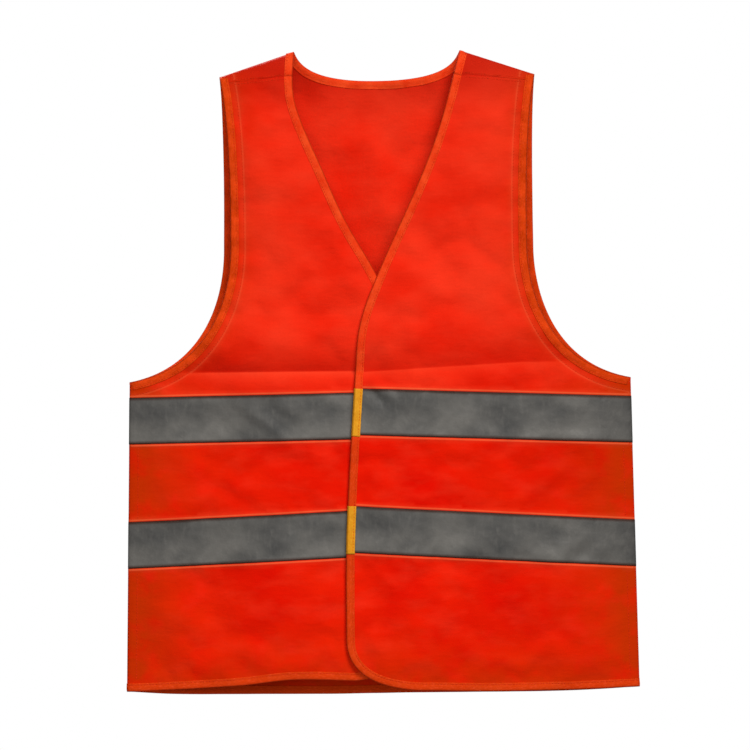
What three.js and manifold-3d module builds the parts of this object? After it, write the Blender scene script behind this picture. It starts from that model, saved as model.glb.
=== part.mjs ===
// High visibility vest, hanging from its shoulders with its fronts lapped and closed.
// Millimetres, +Z up, -Y is the front and +X the wearer's left. The origin is the middle of
// the shoulder line. Outlines are drawn in the X-Z plane on the +X side, and layers that
// follow the hanging surfaces give each outline its place and thickness in Y.
import * as THREE from 'three';
import { mergeVertices } from 'three/addons/utils/BufferGeometryUtils.js';
import Module from 'manifold-3d';

const wasm = await Module();
wasm.setup();

// Thicknesses and widths.
const FABRIC = 1.2;
const TAPE = 0.6;
const TAPE_WIDTH = 50;
const TRIM = 0.7;               // the binding's own thickness
const TRIM_WIDTH = 9;           // how far the binding laps over the fabric
const PATCH = 0.8;              // hook or loop patch
const GAP = 0.3;                // air between touching pieces
const SEAM_GAP = 1.9;           // from the middle plane to the fabric at side seams and shoulders
const SEAM_WIDTH = 10;          // seam allowance inside the vest

// The outline.
const NECK_HALF = 88;
const SHOULDER = { x: 168, z: -26.5 };
const UNDERARM = { x: 267, z: -350 };
const HEM = { x: 273, z: -680 };
const FRONT_ARMHOLE_INSET = 8;  // the front armhole edge lies inside the back one
const SEAM_LINE = { inner: { x: 60, z: -24 }, outer: { x: 190, z: -35 } };  // shoulder seam
const SHOULDER_SEAM_SPAN = { from: 106, to: 148 };  // its allowance, clear of both bindings
const SEAM_ALLOWANCE = 1;       // thickness of that allowance
const FOLD_FOOT = { x: 215, z: HEM.z };  // each front folds open about a line to its foot ...
const FOLD_TOP = { left: { x: 62, z: -27 }, right: { x: 70, z: -27 } };  // ... from this point

// The hanging shape.
const SHOULDER_DEPTH = 16;      // how far front and back stand off the middle plane
const SHOULDER_ROUNDING = 25;   // height over which the shoulder rounds off
const SHOULDER_OPEN = 4;        // the rounding starts this far above the shoulder line
const FRONT_BELLY = 9;          // extra depth at the hem
const BACK_BELLY = 6;
const BELLY_START = -300;       // height where the belly begins
const FLAT_HALF = 46;           // half width of the flat middle of the cross-section
const LAP = 5;                  // how far the left front stands off the right one
const LAP_FULL = 30;            // the lap is whole inside this x ...
const LAP_END = 70;             // ... and gone from this one

// Heights of the tapes' centre lines: at the lapped edges or the middle, and at the sides.
const TAPES = {
  left: { upper: [-383.7, -394.9], lower: [-508.3, -526.5] },
  right: { upper: [-387.6, -391.5], lower: [-510.6, -523.8] },
  back: { upper: [-386, -393.5], lower: [-512, -526] },
};
const TAPE_START = -27;         // x at which a front tape's first height is given
const TAPE_REACH = -60;         // a front tape is cut to its outline from here on
const COVER_SPARE = 1;          // the amber covers reach this far past the tape's edges
const PATCH_SPAN = { from: -17, to: 11, height: 42 };

const RIDGE_HALF = 4.6;         // the shoulder's fold reaches this far from the middle plane
const RIDGE_INSET = 0.15;       // share of the shoulder line left to the bindings at each end
const BRIDGE_LENGTH = 6;        // how far a binding's fold runs along its edge
const YOKE_STEPS = 4;           // points of a neckline that lie above the shoulder seam

// Facets of every layer: rows crowd towards the shoulders.
const COLUMNS = 14;
const SIDE_COLUMN = 12;         // the columns up to this count span the vest's width
const ROWS = 18;
const GRID_TOP = 12;
const GRID_DROP = 712;
const CROWDING = 1.5;
const REACH = 900;              // longer than the vest, for cutting it along a line
const PRISM_DEPTH = 60;         // deeper than the vest, each way

const FINISHES = {
  fabric: { color: 0xeb2c12, roughness: 0.85, metalness: 0 },
  binding: { color: 0xf0562a, roughness: 0.8, metalness: 0 },
  amber: { color: 0xe0a030, roughness: 0.75, metalness: 0 },
  tape: { color: 0x5e5c5b, roughness: 0.45, metalness: 0.2 },
  patch: { color: 0xd8481e, roughness: 0.95, metalness: 0 },
};

const point = (x, z) => new THREE.Vector2(x, z);
const at = ({ x, z }) => point(x, z);

// ---- the hanging surfaces ----------------------------------------------------------------

const shoulderHeight = (x) => THREE.MathUtils.mapLinear(x, NECK_HALF, SHOULDER.x, 0, SHOULDER.z);

function halfWidth(z) {
  return THREE.MathUtils.mapLinear(Math.min(z, UNDERARM.z), UNDERARM.z, HEM.z, UNDERARM.x, HEM.x);
}

function depth(x, z, belly) {
  const below = shoulderHeight(Math.abs(x)) + SHOULDER_OPEN - z;
  const rounded = SHOULDER_DEPTH * (1 - Math.exp(-below / SHOULDER_ROUNDING));
  const bulge = belly * Math.max(0, THREE.MathUtils.mapLinear(z, BELLY_START, HEM.z, 0, 1));
  const across = Math.max(0, Math.abs(x) - FLAT_HALF) / (halfWidth(z) - FLAT_HALF);
  return SEAM_GAP + (rounded + bulge) * (1 - across ** 2);
}

const backSurface = (x, z) => depth(x, z, BACK_BELLY);
const rightSurface = (x, z) => -depth(x, z, FRONT_BELLY);
const lapAt = (x) => LAP * (1 - THREE.MathUtils.smoothstep(x, LAP_FULL, LAP_END));
const leftSurface = (x, z) => rightSurface(x, z) - lapAt(x);

// ---- solids ------------------------------------------------------------------------------

function solid(geometry) {
  geometry.deleteAttribute('normal');
  geometry.deleteAttribute('uv');
  const merged = mergeVertices(geometry);
  return new wasm.Manifold(new wasm.Mesh({
    numProp: 3,
    vertProperties: new Float32Array(merged.attributes.position.array),
    triVerts: new Uint32Array(merged.index.array),
  }));
}

// Splits the squares of a box's -Y side along the same diagonal as those of its +Y side, so
// that the slab keeps its thickness when it bends.
function splitAlike(index, { start, count }) {
  for (let i = start; i < start + count; i += 6) {
    const [a, b, d, , c] = [0, 1, 2, 3, 4].map((k) => index.getX(i + k));
    [a, b, c, a, c, d].forEach((corner, k) => index.setX(i + k, corner));
  }
}

// A bent slab that follows a surface, from `low` to `high` off it in Y. All layers share one
// grid of facets, so layers on the same surface keep exact gaps.
function layer(surface, low, high) {
  const box = new THREE.BoxGeometry(1, 1, 1, COLUMNS, 1, ROWS);
  splitAlike(box.index, box.groups[3]);
  const corners = box.attributes.position;
  for (let i = 0; i < corners.count; i += 1) {
    const z = GRID_TOP - GRID_DROP * (0.5 - corners.getZ(i)) ** CROWDING;
    const x = corners.getX(i) * 2 * halfWidth(z) * (COLUMNS / SIDE_COLUMN);
    corners.setXYZ(i, x, surface(x, z) + (corners.getY(i) < 0 ? low : high), z);
  }
  return solid(box);
}

const onSide = (outline, side) => (side < 0 ? outline.map((p) => point(-p.x, p.y)) : outline);

// An outline drawn out along Y, on the +X side or mirrored to the -X side.
function prism(outline, side = 1, reach = PRISM_DEPTH) {
  const extruded = new THREE.ExtrudeGeometry(new THREE.Shape(onSide(outline, side)), {
    depth: 2 * reach, bevelEnabled: false,
  });
  extruded.rotateX(Math.PI / 2);
  extruded.translate(0, reach, 0);
  return solid(extruded);
}

// Everything to the left of the line from a to b, kept a little off it.
function leftOf(a, b, side = 1, clear = GAP / 2) {
  const along = b.clone().sub(a).normalize();
  const away = point(-along.y, along.x);
  const from = a.clone().addScaledVector(along, -REACH).addScaledVector(away, clear);
  const to = b.clone().addScaledVector(along, REACH).addScaledVector(away, clear);
  const beyond = away.clone().multiplyScalar(REACH);
  return prism([from, to, to.clone().add(beyond), from.clone().add(beyond)], side);
}

// A path moved sideways: positive moves it to the left of its direction.
function offsetPath(path, distance) {
  return path.map((p, i) => {
    const before = path[Math.max(i - 1, 0)];
    const after = path[Math.min(i + 1, path.length - 1)];
    const left = point(before.y - after.y, after.x - before.x).normalize();
    return p.clone().addScaledVector(left, distance);
  });
}

function bandOutline(path, near, far) {
  return [...offsetPath(path, near), ...offsetPath(path, far).reverse()];
}

const rectangle = (x0, x1, z0, z1) => [point(x0, z0), point(x1, z0), point(x1, z1), point(x0, z1)];

const above = (z) => prism(rectangle(-REACH, REACH, z, z + REACH));

// ---- outlines: the fabric is to the left of each path --------------------------------------

const neckPoint = point(NECK_HALF, 0);
const shoulderPoint = at(SHOULDER);
const seamInner = at(SEAM_LINE.inner);
const seamOuter = at(SEAM_LINE.outer);

// From the underarm up to the shoulder point.
function armholePath(inset) {
  const turn = point(165.5 - inset, -205);
  const lower = new THREE.CubicBezierCurve(
    at(UNDERARM), point(191 - inset, -336), point(165 - inset, -266), turn);
  const upper = new THREE.QuadraticBezierCurve(turn, point(164 - inset, -80), shoulderPoint);
  return [...lower.getPoints(9), ...upper.getPoints(4).slice(1)];
}

// Each front: from the neck point down the neckline and edge, round the corner, along the hem.
function leftFrontPath() {
  const edge = new THREE.SplineCurve([
    neckPoint, point(66.5, -79), point(42, -142.5), point(1.2, -232), point(-20.5, -290),
    point(-27, -352), point(-37, -511), point(-38.5, -625)]);
  const corner = new THREE.CubicBezierCurve(
    point(-38.5, -625), point(-38.5, -662), point(-5, -677), point(40, -679));
  const hem = new THREE.SplineCurve([point(40, -679), point(140, -681.5), at(HEM)]);
  return [...edge.getPoints(24), ...corner.getPoints(6).slice(1), ...hem.getPoints(4).slice(1)];
}

function rightFrontPath() {
  const edge = new THREE.SplineCurve([
    neckPoint, point(87.2, -55), point(57, -131.5), point(34, -183), point(2.1, -240),
    point(-17, -290), point(-23, -355), point(-21, -511), point(-20, -618)]);
  const corner = new THREE.CubicBezierCurve(
    point(-20, -618), point(-20, -655), point(0, -667), point(30, -669));
  const hem = new THREE.SplineCurve([
    point(30, -669), point(95, -667), point(151, -673), point(228, -678), at(HEM)]);
  return [...edge.getPoints(24), ...corner.getPoints(5).slice(1), ...hem.getPoints(5).slice(1)];
}

// From the left neck point across the back to the right one.
function neckPath() {
  const half = new THREE.CubicBezierCurve(neckPoint, point(80, -22), point(50, -30), point(0, -30));
  const points = half.getPoints(7);
  return [...points, ...onSide(points, -1).reverse().slice(1)];
}

function backHemPath() {
  return new THREE.SplineCurve([
    point(-HEM.x, HEM.z), point(-190, HEM.z - 5), point(0, HEM.z - 6.5), point(190, HEM.z - 5),
    at(HEM)]).getPoints(14);
}

const BOUND = TRIM + GAP;       // bound fabric ends this far inside the binding's edge
const backArmhole = armholePath(0);
const frontArmhole = armholePath(FRONT_ARMHOLE_INSET);
const backNeck = neckPath();
const backHem = backHemPath();

function backOutline(inset) {
  return [
    ...offsetPath(backHem, inset),
    ...offsetPath(backArmhole, inset),
    ...offsetPath(backNeck, inset),
    ...onSide(offsetPath(backArmhole, inset), -1).reverse(),
  ];
}

function frontOutline(path, inset) {
  return [...offsetPath(path, inset), ...offsetPath(frontArmhole, inset)];
}

// ---- building blocks ---------------------------------------------------------------------

const HALF = FABRIC / 2;
const FLANGE = HALF + GAP + TRIM;   // from the fabric's middle to the binding's outer face

function fabric(surface, outline, side = 1) {
  return layer(surface, -HALF, HALF).intersect(prism(outline, side));
}

// A binding folded round the fabric's edge along a path.
function channel(surface, path, side = 1) {
  const around = prism(bandOutline(path, 0, TRIM_WIDTH), side);
  const inside = prism(bandOutline(path, TRIM, TRIM_WIDTH + TRIM), side);
  return layer(surface, -FLANGE, FLANGE).intersect(around)
    .subtract(layer(surface, -HALF - GAP, HALF + GAP).intersect(inside));
}

// The fabric's space with the air around it.
function slot(surface, outline, side) {
  return layer(surface, -HALF - GAP, HALF + GAP).intersect(prism(outline, side));
}

// The fold of a binding that carries it over from front to back, along a few millimetres of
// its edge from `from` towards `to`, kept off the fabric.
function bridge(from, to, { side, path }) {
  const end = from.clone().add(to.clone().sub(from).setLength(BRIDGE_LENGTH));
  return prism(bandOutline([from, end], -TRIM, TRIM), side, SEAM_GAP + HALF)
    .subtract(slot(rightSurface, frontOutline(path, TRIM), side))
    .subtract(slot(backSurface, backOutline(TRIM), side));
}

const vest = new THREE.Group();

function add(name, finish, shape) {
  const { vertProperties, triVerts } = shape.getMesh();
  const geometry = new THREE.BufferGeometry();
  geometry.setAttribute('position', new THREE.BufferAttribute(new Float32Array(vertProperties), 3));
  geometry.setIndex(new THREE.BufferAttribute(new Uint32Array(triVerts), 1));
  geometry.computeVertexNormals();
  const piece = new THREE.Mesh(geometry, new THREE.MeshStandardMaterial(FINISHES[finish]));
  piece.name = name;
  vest.add(piece);
}

// ---- back --------------------------------------------------------------------------------

const FRONTS = {
  left: { side: 1, surface: leftSurface, path: leftFrontPath() },
  right: { side: -1, surface: rightSurface, path: rightFrontPath() },
};

// The back panel wraps over each shoulder, down to the shoulder seam.
function backPanel() {
  const ridge = [
    shoulderPoint.clone().lerp(neckPoint, RIDGE_INSET),
    neckPoint.clone().lerp(shoulderPoint, RIDGE_INSET)];
  let panel = fabric(backSurface, backOutline(BOUND));
  for (const { side, path } of Object.values(FRONTS)) {
    const yoke = fabric(rightSurface, frontOutline(path, BOUND), side)
      .intersect(leftOf(seamInner, seamOuter, side));
    panel = panel.add(yoke).add(prism(bandOutline(ridge, 0, FABRIC), side, RIDGE_HALF));
  }
  return panel;
}

function backNeckBinding() {
  let binding = channel(backSurface, backNeck);
  for (const front of Object.values(FRONTS)) {
    const { side, path } = front;
    const yoke = channel(rightSurface, path.slice(0, YOKE_STEPS), side)
      .intersect(leftOf(seamInner, seamOuter, side));
    binding = binding.add(yoke).add(bridge(neckPoint, path[1], front));
  }
  return binding;
}

function armholeBinding(front) {
  const { side } = front;
  const top = backArmhole.length - 1;
  const belowRidge = leftOf(shoulderPoint, neckPoint, side, GAP);
  return channel(rightSurface, frontArmhole, side).intersect(belowRidge)
    .add(channel(backSurface, backArmhole, side).intersect(belowRidge))
    .add(bridge(backArmhole[0], backArmhole[1], front))
    .add(bridge(backArmhole[top], backArmhole[top - 1], front));
}

function backTape([middle, side]) {
  const steps = 8;
  const centre = Array.from({ length: steps + 1 }, (_, i) => {
    const across = -1 + 2 * i / steps;
    return point(across * HEM.x, middle + (side - middle) * across ** 2);
  });
  const clear = HALF + GAP;
  return layer(backSurface, clear, clear + TAPE)
    .intersect(prism(bandOutline(centre, -TAPE_WIDTH / 2, TAPE_WIDTH / 2)))
    .intersect(prism(backOutline(BOUND)));
}

add('back_panel', 'fabric', backPanel());
add('back_neck_binding', 'binding', backNeckBinding());
add('back_hem_binding', 'binding', channel(backSurface, backHem));
add('back_tape_upper', 'tape', backTape(TAPES.back.upper));
add('back_tape_lower', 'tape', backTape(TAPES.back.lower));

// ---- fronts ------------------------------------------------------------------------------

function sideSeam(side) {
  const bottom = HEM.z + SEAM_WIDTH;
  const top = UNDERARM.z - SEAM_WIDTH - TRIM_WIDTH / 2;
  const edge = [point(halfWidth(bottom) - BOUND, bottom), point(halfWidth(top) - BOUND, top)];
  return prism(bandOutline(edge, 0, SEAM_WIDTH - BOUND), side, SEAM_GAP - HALF - GAP);
}

function shoulderSeam(side) {
  const { x: x0, y: z0 } = seamInner;
  const { x: x1, y: z1 } = seamOuter;
  const along = (x) => point(x, THREE.MathUtils.mapLinear(x, x0, x1, z0, z1));
  const line = [along(SHOULDER_SEAM_SPAN.from), along(SHOULDER_SEAM_SPAN.to)];
  const clear = HALF + GAP;
  return layer(rightSurface, clear, clear + SEAM_ALLOWANCE)
    .intersect(prism(bandOutline(line, -SEAM_WIDTH / 2, SEAM_WIDTH / 2), side));
}

function frontTape({ side, surface, path }, [edge, outer]) {
  const centre = [TAPE_REACH, HEM.x + SEAM_WIDTH].map((x) => (
    point(x, THREE.MathUtils.mapLinear(x, TAPE_START, UNDERARM.x, edge, outer))));
  const clear = HALF + GAP;
  return layer(surface, -clear - TAPE, -clear)
    .intersect(prism(bandOutline(centre, -TAPE_WIDTH / 2, TAPE_WIDTH / 2), side))
    .intersect(prism(frontOutline(path, TRIM_WIDTH + GAP), side));
}

// The lapped edge of the left front is amber where it wraps a tape's end: the outer half of
// the binding is a piece of its own there.
function tapeEndCover(binding, surface, height) {
  const reach = TAPE_WIDTH / 2 + COVER_SPARE;
  const outside = -FLANGE - GAP;
  const section = (spare) => (
    prism(rectangle(TAPE_REACH, 0, height - reach - spare, height + reach + spare)));
  const cover = binding.intersect(section(0)).intersect(layer(surface, outside, 0));
  const rest = binding.subtract(section(GAP).intersect(layer(surface, outside, GAP)));
  return { cover, rest };
}

function patch(surface, low, height) {
  const { from, to, height: tall } = PATCH_SPAN;
  return layer(surface, low, low + PATCH)
    .intersect(prism(rectangle(from, to, height - tall / 2, height + tall / 2)));
}

const halfway = (UNDERARM.z + SHOULDER.z) / 2;   // between a front's neckline and its hem

for (const [name, front] of Object.entries(FRONTS)) {
  const { side, surface, path } = front;
  const foldTop = at(FOLD_TOP[name]);
  const foldFoot = at(FOLD_FOOT);
  const belowSeam = leftOf(seamOuter, seamInner, side);
  const sidePart = leftOf(foldTop, foldFoot, side).intersect(belowSeam);
  const flapPart = leftOf(foldFoot, foldTop, side).intersect(belowSeam);
  const panel = fabric(surface, frontOutline(path, BOUND), side);
  const binding = channel(surface, path, side);

  add(`${name}_front_side_panel`, 'fabric', panel.intersect(sidePart));
  const sideBinding = binding.intersect(sidePart);
  add(`${name}_neckline_binding`, 'binding', sideBinding.intersect(above(halfway)));
  add(`${name}_hem_binding_side`, 'binding', sideBinding.subtract(above(halfway)));
  add(`${name}_armhole_binding`, 'binding', armholeBinding(front));
  add(`${name}_side_seam`, 'fabric', sideSeam(side));
  add(`${name}_shoulder_seam`, 'fabric', shoulderSeam(side));
  add(`${name}_front_panel`, 'fabric', panel.intersect(flapPart));
  for (const [level, heights] of Object.entries(TAPES[name])) {
    const tape = frontTape(front, heights);
    add(`${name}_tape_${level}_side`, 'tape', tape.intersect(sidePart));
    add(`${name}_tape_${level}`, 'tape', tape.intersect(flapPart));
  }

  let edgeBinding = binding.intersect(flapPart);
  if (name === 'left') {
    for (const [level, [height]] of Object.entries(TAPES.left)) {
      const { cover, rest } = tapeEndCover(edgeBinding, surface, height);
      add(`tape_end_cover_${level}`, 'amber', cover);
      edgeBinding = rest;
    }
  }
  add(`${name}_front_edge_binding`, 'binding', edgeBinding);
}

// ---- hook and loop patches between the lapped fronts ---------------------------------------

for (const level of ['upper', 'lower']) {
  const height = (TAPES.left[level][0] + TAPES.right[level][0]) / 2;
  add(`hook_patch_${level}`, 'patch', patch(leftSurface, HALF + GAP, height));
  add(`loop_patch_${level}`, 'patch', patch(rightSurface, -HALF - GAP - TAPE - GAP - PATCH, height));
}

export default vest;
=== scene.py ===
import math

import bmesh
import bpy
import numpy as np
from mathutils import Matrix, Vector, kdtree
from mathutils.geometry import delaunay_2d_cdt


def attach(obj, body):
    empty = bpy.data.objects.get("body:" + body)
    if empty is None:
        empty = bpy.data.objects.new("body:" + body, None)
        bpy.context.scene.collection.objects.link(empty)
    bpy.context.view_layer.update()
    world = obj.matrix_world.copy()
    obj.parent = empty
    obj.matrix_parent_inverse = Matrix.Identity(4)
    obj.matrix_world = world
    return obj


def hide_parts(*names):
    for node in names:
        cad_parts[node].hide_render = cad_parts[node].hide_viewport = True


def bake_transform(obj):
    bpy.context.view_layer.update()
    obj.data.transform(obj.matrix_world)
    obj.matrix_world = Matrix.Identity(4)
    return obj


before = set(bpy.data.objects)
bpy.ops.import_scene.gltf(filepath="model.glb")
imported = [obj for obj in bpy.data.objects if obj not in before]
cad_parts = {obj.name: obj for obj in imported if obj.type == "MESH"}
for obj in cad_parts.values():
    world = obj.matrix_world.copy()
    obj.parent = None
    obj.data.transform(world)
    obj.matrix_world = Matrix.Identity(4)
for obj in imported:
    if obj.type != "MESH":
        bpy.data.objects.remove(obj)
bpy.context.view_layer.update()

# A high visibility vest hanging from its shoulders. Lengths are millimetres up to make(), which
# writes metres. -Y is the front, +X the wearer's left, and heights over a face are along its
# outward normal. Outlines are drawn in the X-Z plane with the fabric to the left of each path.

MM = 0.001

# The outline, as the frame has it.
NECK_HALF = 88
SHOULDER = (168, -26.5)
UNDERARM = (267, -350)
HEM = (273, -680)
FRONT_ARMHOLE_INSET = 8   # the fronts' armholes are cut this much deeper than the back's
SEAM_INNER, SEAM_OUTER = (60, -24), (190, -35)  # the shoulder seam's line

# The hanging shape.
SEAM_GAP = 1.9            # from the middle plane to the cloth near a side seam
SHOULDER_DEPTH = 16       # how much further out it is in the middle, below the shoulders
SHOULDER_ROUNDING, SHOULDER_OPEN = 25, 4
FRONT_BELLY, BACK_BELLY = 9, 6      # and more below BELLY_START, at the hem
BELLY_START = -300
FLAT_HALF = 46            # half width of the part that doesn't curve back
LAP = 5                   # the left front lies this much further out where it laps
LAP_FULL, LAP_END = 30, 70
RIDGE_ROLL = 14           # height over which the cloth turns over the shoulder
SIDE_ROLL = 6             # width over which front and back turn into the side seam
SEAM_TOUCH = 0.45         # from the middle plane to the cloth where they meet there

# Layers, as heights over the middle of the cloth.
CLOTH = 0.8
SKIN = CLOTH / 2
TAPE_LOW, TAPE_TOP = 0.42, 0.95
TAPE_HALF = 25
TAPES = {                 # height of each one's middle: near the edge or the spine, and at the side
    "left": {"upper": (-383.7, -394.9), "lower": (-508.3, -526.5)},
    "right": {"upper": (-387.6, -391.5), "lower": (-510.6, -523.8)},
    "back": {"upper": (-386, -393.5), "lower": (-512, -526)},
}
TAPE_START = -27          # x at which the fronts' tape heights above are the first ones
TAPE_HIDDEN = 5           # a front's tape starts this far inside the edge, under its trim
TAPE_BEVEL = 0.3          # width of its rounded edge
TAPE_SEWN = 1.6           # its stitches run this far inside its edge
TAPE_CLEAR = 0.02         # between a tape and what lies on it
TAPE_STEP = 1.2           # width over which what lies on it comes down to the cloth
SIDE_REACH = 280          # beyond both side seams
RIDGE_OUT = 1.3           # a small ridge of cloth stands this far outside each tape edge
RIDGE_SLOPE, RIDGE_LIFT = 0.9, 0.6
BOUND = 1.0               # the cloth ends this far inside a trim's outer edge
TRIM_WIDTH = 9            # how far a trim laps over the cloth
TRIM_STITCH = 7.2         # a trim's stitches run this far inside its outer edge
TRIM_TOP = 0.95           # and this high
FOLD_ROUND = 9.4          # a trim's outer fold lies this far round its section
FACING_WIDTH = 14.5       # the armhole's second row of stitches
FACING_RIDGE = FACING_WIDTH + 1.2
SEAM_CRACK = 0.06         # between a front and the yoke that it is sewn to
PAD_SPAN = (-17, 11)      # x of a hook or loop pad's sides
PAD_HEIGHT = 42
PADS = {"hook": ("left", -0.45, -1.3, 0.35), "loop": ("right", 1.0, 1.7, 0.45)}     # low, high, rough
PILE_PITCH = 1.3          # from one rough point of its pile to the next
STITCH_PITCH = 3.2
STITCH_RADIUS = 0.32
STITCH_LIFT = 0.1         # a stitch's middle over the cloth's skin

# Relief and tint.
CELL = 4.0                # size of the cloth's triangles
RELIEF_CELL = 2.5
RELIEF_X, RELIEF_Z = (-290, 291), (-705, 21)
CALM = 9                  # the relief fades out where front and back come this near
SPARE_CLOTH = 0.012       # share by which the cloth is longer than the trims and tapes
DRAPE_CELL = 8.5          # size of the simulated cloth's triangles
DRAPE_FRAMES = 36
DRAPE_LIMIT = 2.2         # the simulated folds stay within this height
CLOTH_WEIGHT = 200        # in the simulation, kilograms a square metre: it settles sooner
FOLD_DEPTH, FOLD_UP, FOLD_DOWN = 5.5, 13, 9     # the storage fold, and its reach either way
PUFF, PUFF_UP, PUFF_REACH = 2.4, 34, 22         # the cloth stands out above that fold
HEM_WAVES = (-560, 130)   # they start here, and are full this far below
BROWNING_SIDE, BROWNING_HEM, BROWNING_ARMHOLE = 48, 34, 16  # how far in from its edges the cloth turns browner and darker
FRONT_CREASES = [         # start, end, height and radius of each
    ((-262, -352), (-120, -300), 1.0, 9), ((262, -352), (140, -292), 1.0, 9),
    ((255, -420), (150, -470), 0.9, 11), ((-250, -430), (-140, -480), -0.8, 12),
    ((-160, -366), (-96, -416), 1.9, 6.5), ((-132, -366), (-84, -402), -1.3, 7),
    ((-196, -372), (-150, -410), -1.0, 8), ((-16, -356), (8, -378), -2.6, 4),
    ((-6, -356), (18, -372), 1.3, 4), ((150, -60), (120, -190), -1.0, 12),
    ((-150, -60), (-115, -180), 0.9, 12)]
BACK_CREASES = [
    ((-200, -338), (200, -332), -1.6, 9), ((-258, -354), (-120, -290), 1.0, 9),
    ((255, -356), (130, -300), 1.0, 9), ((-70, -90), (40, -260), 0.9, 16)]

rng = np.random.default_rng(7)


# ---- curves in the X-Z plane

def bezier(points, steps=40):
    t = np.linspace(0, 1, steps + 1)[:, None]
    n = len(points) - 1
    return sum(math.comb(n, k) * t**k * (1 - t) ** (n - k) * np.array(p, float)
               for k, p in enumerate(points))


def spline(points, steps=300):
    """A uniform Catmull-Rom curve through the points."""
    p = np.array([points[0], *points, points[-1]], float)
    span = np.linspace(0, len(points) - 1, steps + 1)
    i = np.minimum(span.astype(int), len(points) - 2)
    t = (span - i)[:, None]
    a, b, c, d = (p[i + k] for k in range(4))
    leave, arrive = (c - a) / 2, (d - b) / 2
    cubic = 2 * b - 2 * c + leave + arrive
    square = 3 * c - 3 * b - 2 * leave - arrive
    return cubic * t**3 + square * t**2 + leave * t + b


def line(x, z):
    return np.column_stack([x, z])


def chain(*paths):
    return np.vstack([paths[0], *[p[1:] for p in paths[1:]]])


def arc_length(path):
    return np.r_[0, np.cumsum(np.linalg.norm(np.diff(path, axis=0), axis=1))]


def even(path, spacing):
    """The path with points at equal distances."""
    length = arc_length(path)
    at = np.linspace(0, length[-1], max(2, round(length[-1] / spacing) + 1))
    return np.column_stack([np.interp(at, length, c) for c in path.T])


def unit(vectors):
    return vectors / np.linalg.norm(vectors, axis=-1, keepdims=True)


def inward(path):
    along = unit(np.gradient(path, axis=0))
    return np.column_stack([-along[:, 1], along[:, 0]])


def offset(path, distance):
    return path + inward(path) * distance


def mirrored(path):
    """The path on the other side of the wearer, turned round so that the fabric stays on its left."""
    return path[::-1] * (-1, 1)


def armhole_path(inset):
    turn = (165.5 - inset, -205)
    lower = bezier([UNDERARM, (191 - inset, -336), (165 - inset, -266), turn])
    return even(chain(lower, bezier([turn, (164 - inset, -80), SHOULDER])), 3)


def front_path(edge, bend, hem):
    """From the neck down a front's edge, round its corner and along the hem to the side seam."""
    corner = bezier([edge[-1], *bend, hem[0]])
    return even(chain(spline([(NECK_HALF, 0), *edge]), corner, spline([*hem, HEM])), 3)


def left_front_path():
    edge = [(66.5, -79), (42, -142.5), (1.2, -232), (-20.5, -290), (-27, -352), (-37, -511), (-38.5, -625)]
    return front_path(edge, [(-38.5, -662), (-5, -677)], [(40, -679), (140, -681.5)])


def right_front_path():
    edge = [(87.2, -55), (57, -131.5), (34, -183), (2.1, -240), (-17, -290), (-23, -355), (-21, -511),
            (-20, -618)]
    return front_path(edge, [(-20, -655), (0, -667)], [(30, -669), (95, -667), (151, -673), (228, -678)])


def neck_path():
    half = bezier([(NECK_HALF, 0), (80, -22), (50, -30), (0, -30)])
    return even(chain(half, mirrored(half)), 3)


def back_hem_path():
    x, z = HEM
    return even(spline([(-x, z), (-190, z - 5), (0, z - 6.5), (190, z - 5), (x, z)]), 3)


def shoulder_height(x):
    return (np.abs(x) - NECK_HALF) * SHOULDER[1] / (SHOULDER[0] - NECK_HALF)


def half_width(z):
    return np.interp(-z, [-UNDERARM[1], -HEM[1]], [UNDERARM[0], HEM[0]])


# ---- the hanging faces

def roll(t):
    return np.sqrt(1 - (1 - np.clip(t, 0, 1)) ** 2)


def smooth(t):
    t = np.clip(t, 0, 1)
    return t * t * (3 - 2 * t)


def hump(distance, width):
    return np.exp(-(distance / width) ** 2)


class Field:
    """Heights on a grid over the X-Z plane, read by bilinear interpolation."""

    def __init__(self):
        self.x = np.arange(*RELIEF_X, RELIEF_CELL)
        self.z = np.arange(*RELIEF_Z, RELIEF_CELL)
        self.grid_x, self.grid_z = np.meshgrid(self.x, self.z, indexing="ij")
        self.height = np.zeros_like(self.grid_x)

    def __call__(self, x, z):
        i = np.clip((x - self.x[0]) / RELIEF_CELL, 0, len(self.x) - 1.001)
        j = np.clip((z - self.z[0]) / RELIEF_CELL, 0, len(self.z) - 1.001)
        a, b = i.astype(int), j.astype(int)
        u, v = i - a, j - b
        h = self.height
        return (h[a, b] * (1 - u) * (1 - v) + h[a + 1, b] * u * (1 - v)
                + h[a, b + 1] * (1 - u) * v + h[a + 1, b + 1] * u * v)

    def near(self, points, reach):
        """The grid's places within reach of each point, and their squared distances from it."""
        count = math.ceil(reach / RELIEF_CELL)
        steps = np.arange(-count, count + 1)
        x, z = points[:, 0, None, None], points[:, 1, None, None]
        i = np.rint((x - self.x[0]) / RELIEF_CELL).astype(int) + steps[:, None]
        j = np.rint((z - self.z[0]) / RELIEF_CELL).astype(int) + steps
        i, j = np.broadcast_arrays(i.clip(0, len(self.x) - 1), j.clip(0, len(self.z) - 1))
        return (i, j), (self.x[i] - x) ** 2 + (self.z[j] - z) ** 2

    def stamp(self, points, amounts, radius):
        """Adds a soft ridge of that radius along a path, with these amounts at its points."""
        places, away = self.near(points, 2.5 * radius)
        step = arc_length(points)[-1] / (len(points) - 1)
        share = step / (radius * math.sqrt(math.pi))
        np.add.at(self.height, places, np.exp(-away / radius**2) * share * amounts[:, None, None])


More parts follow.
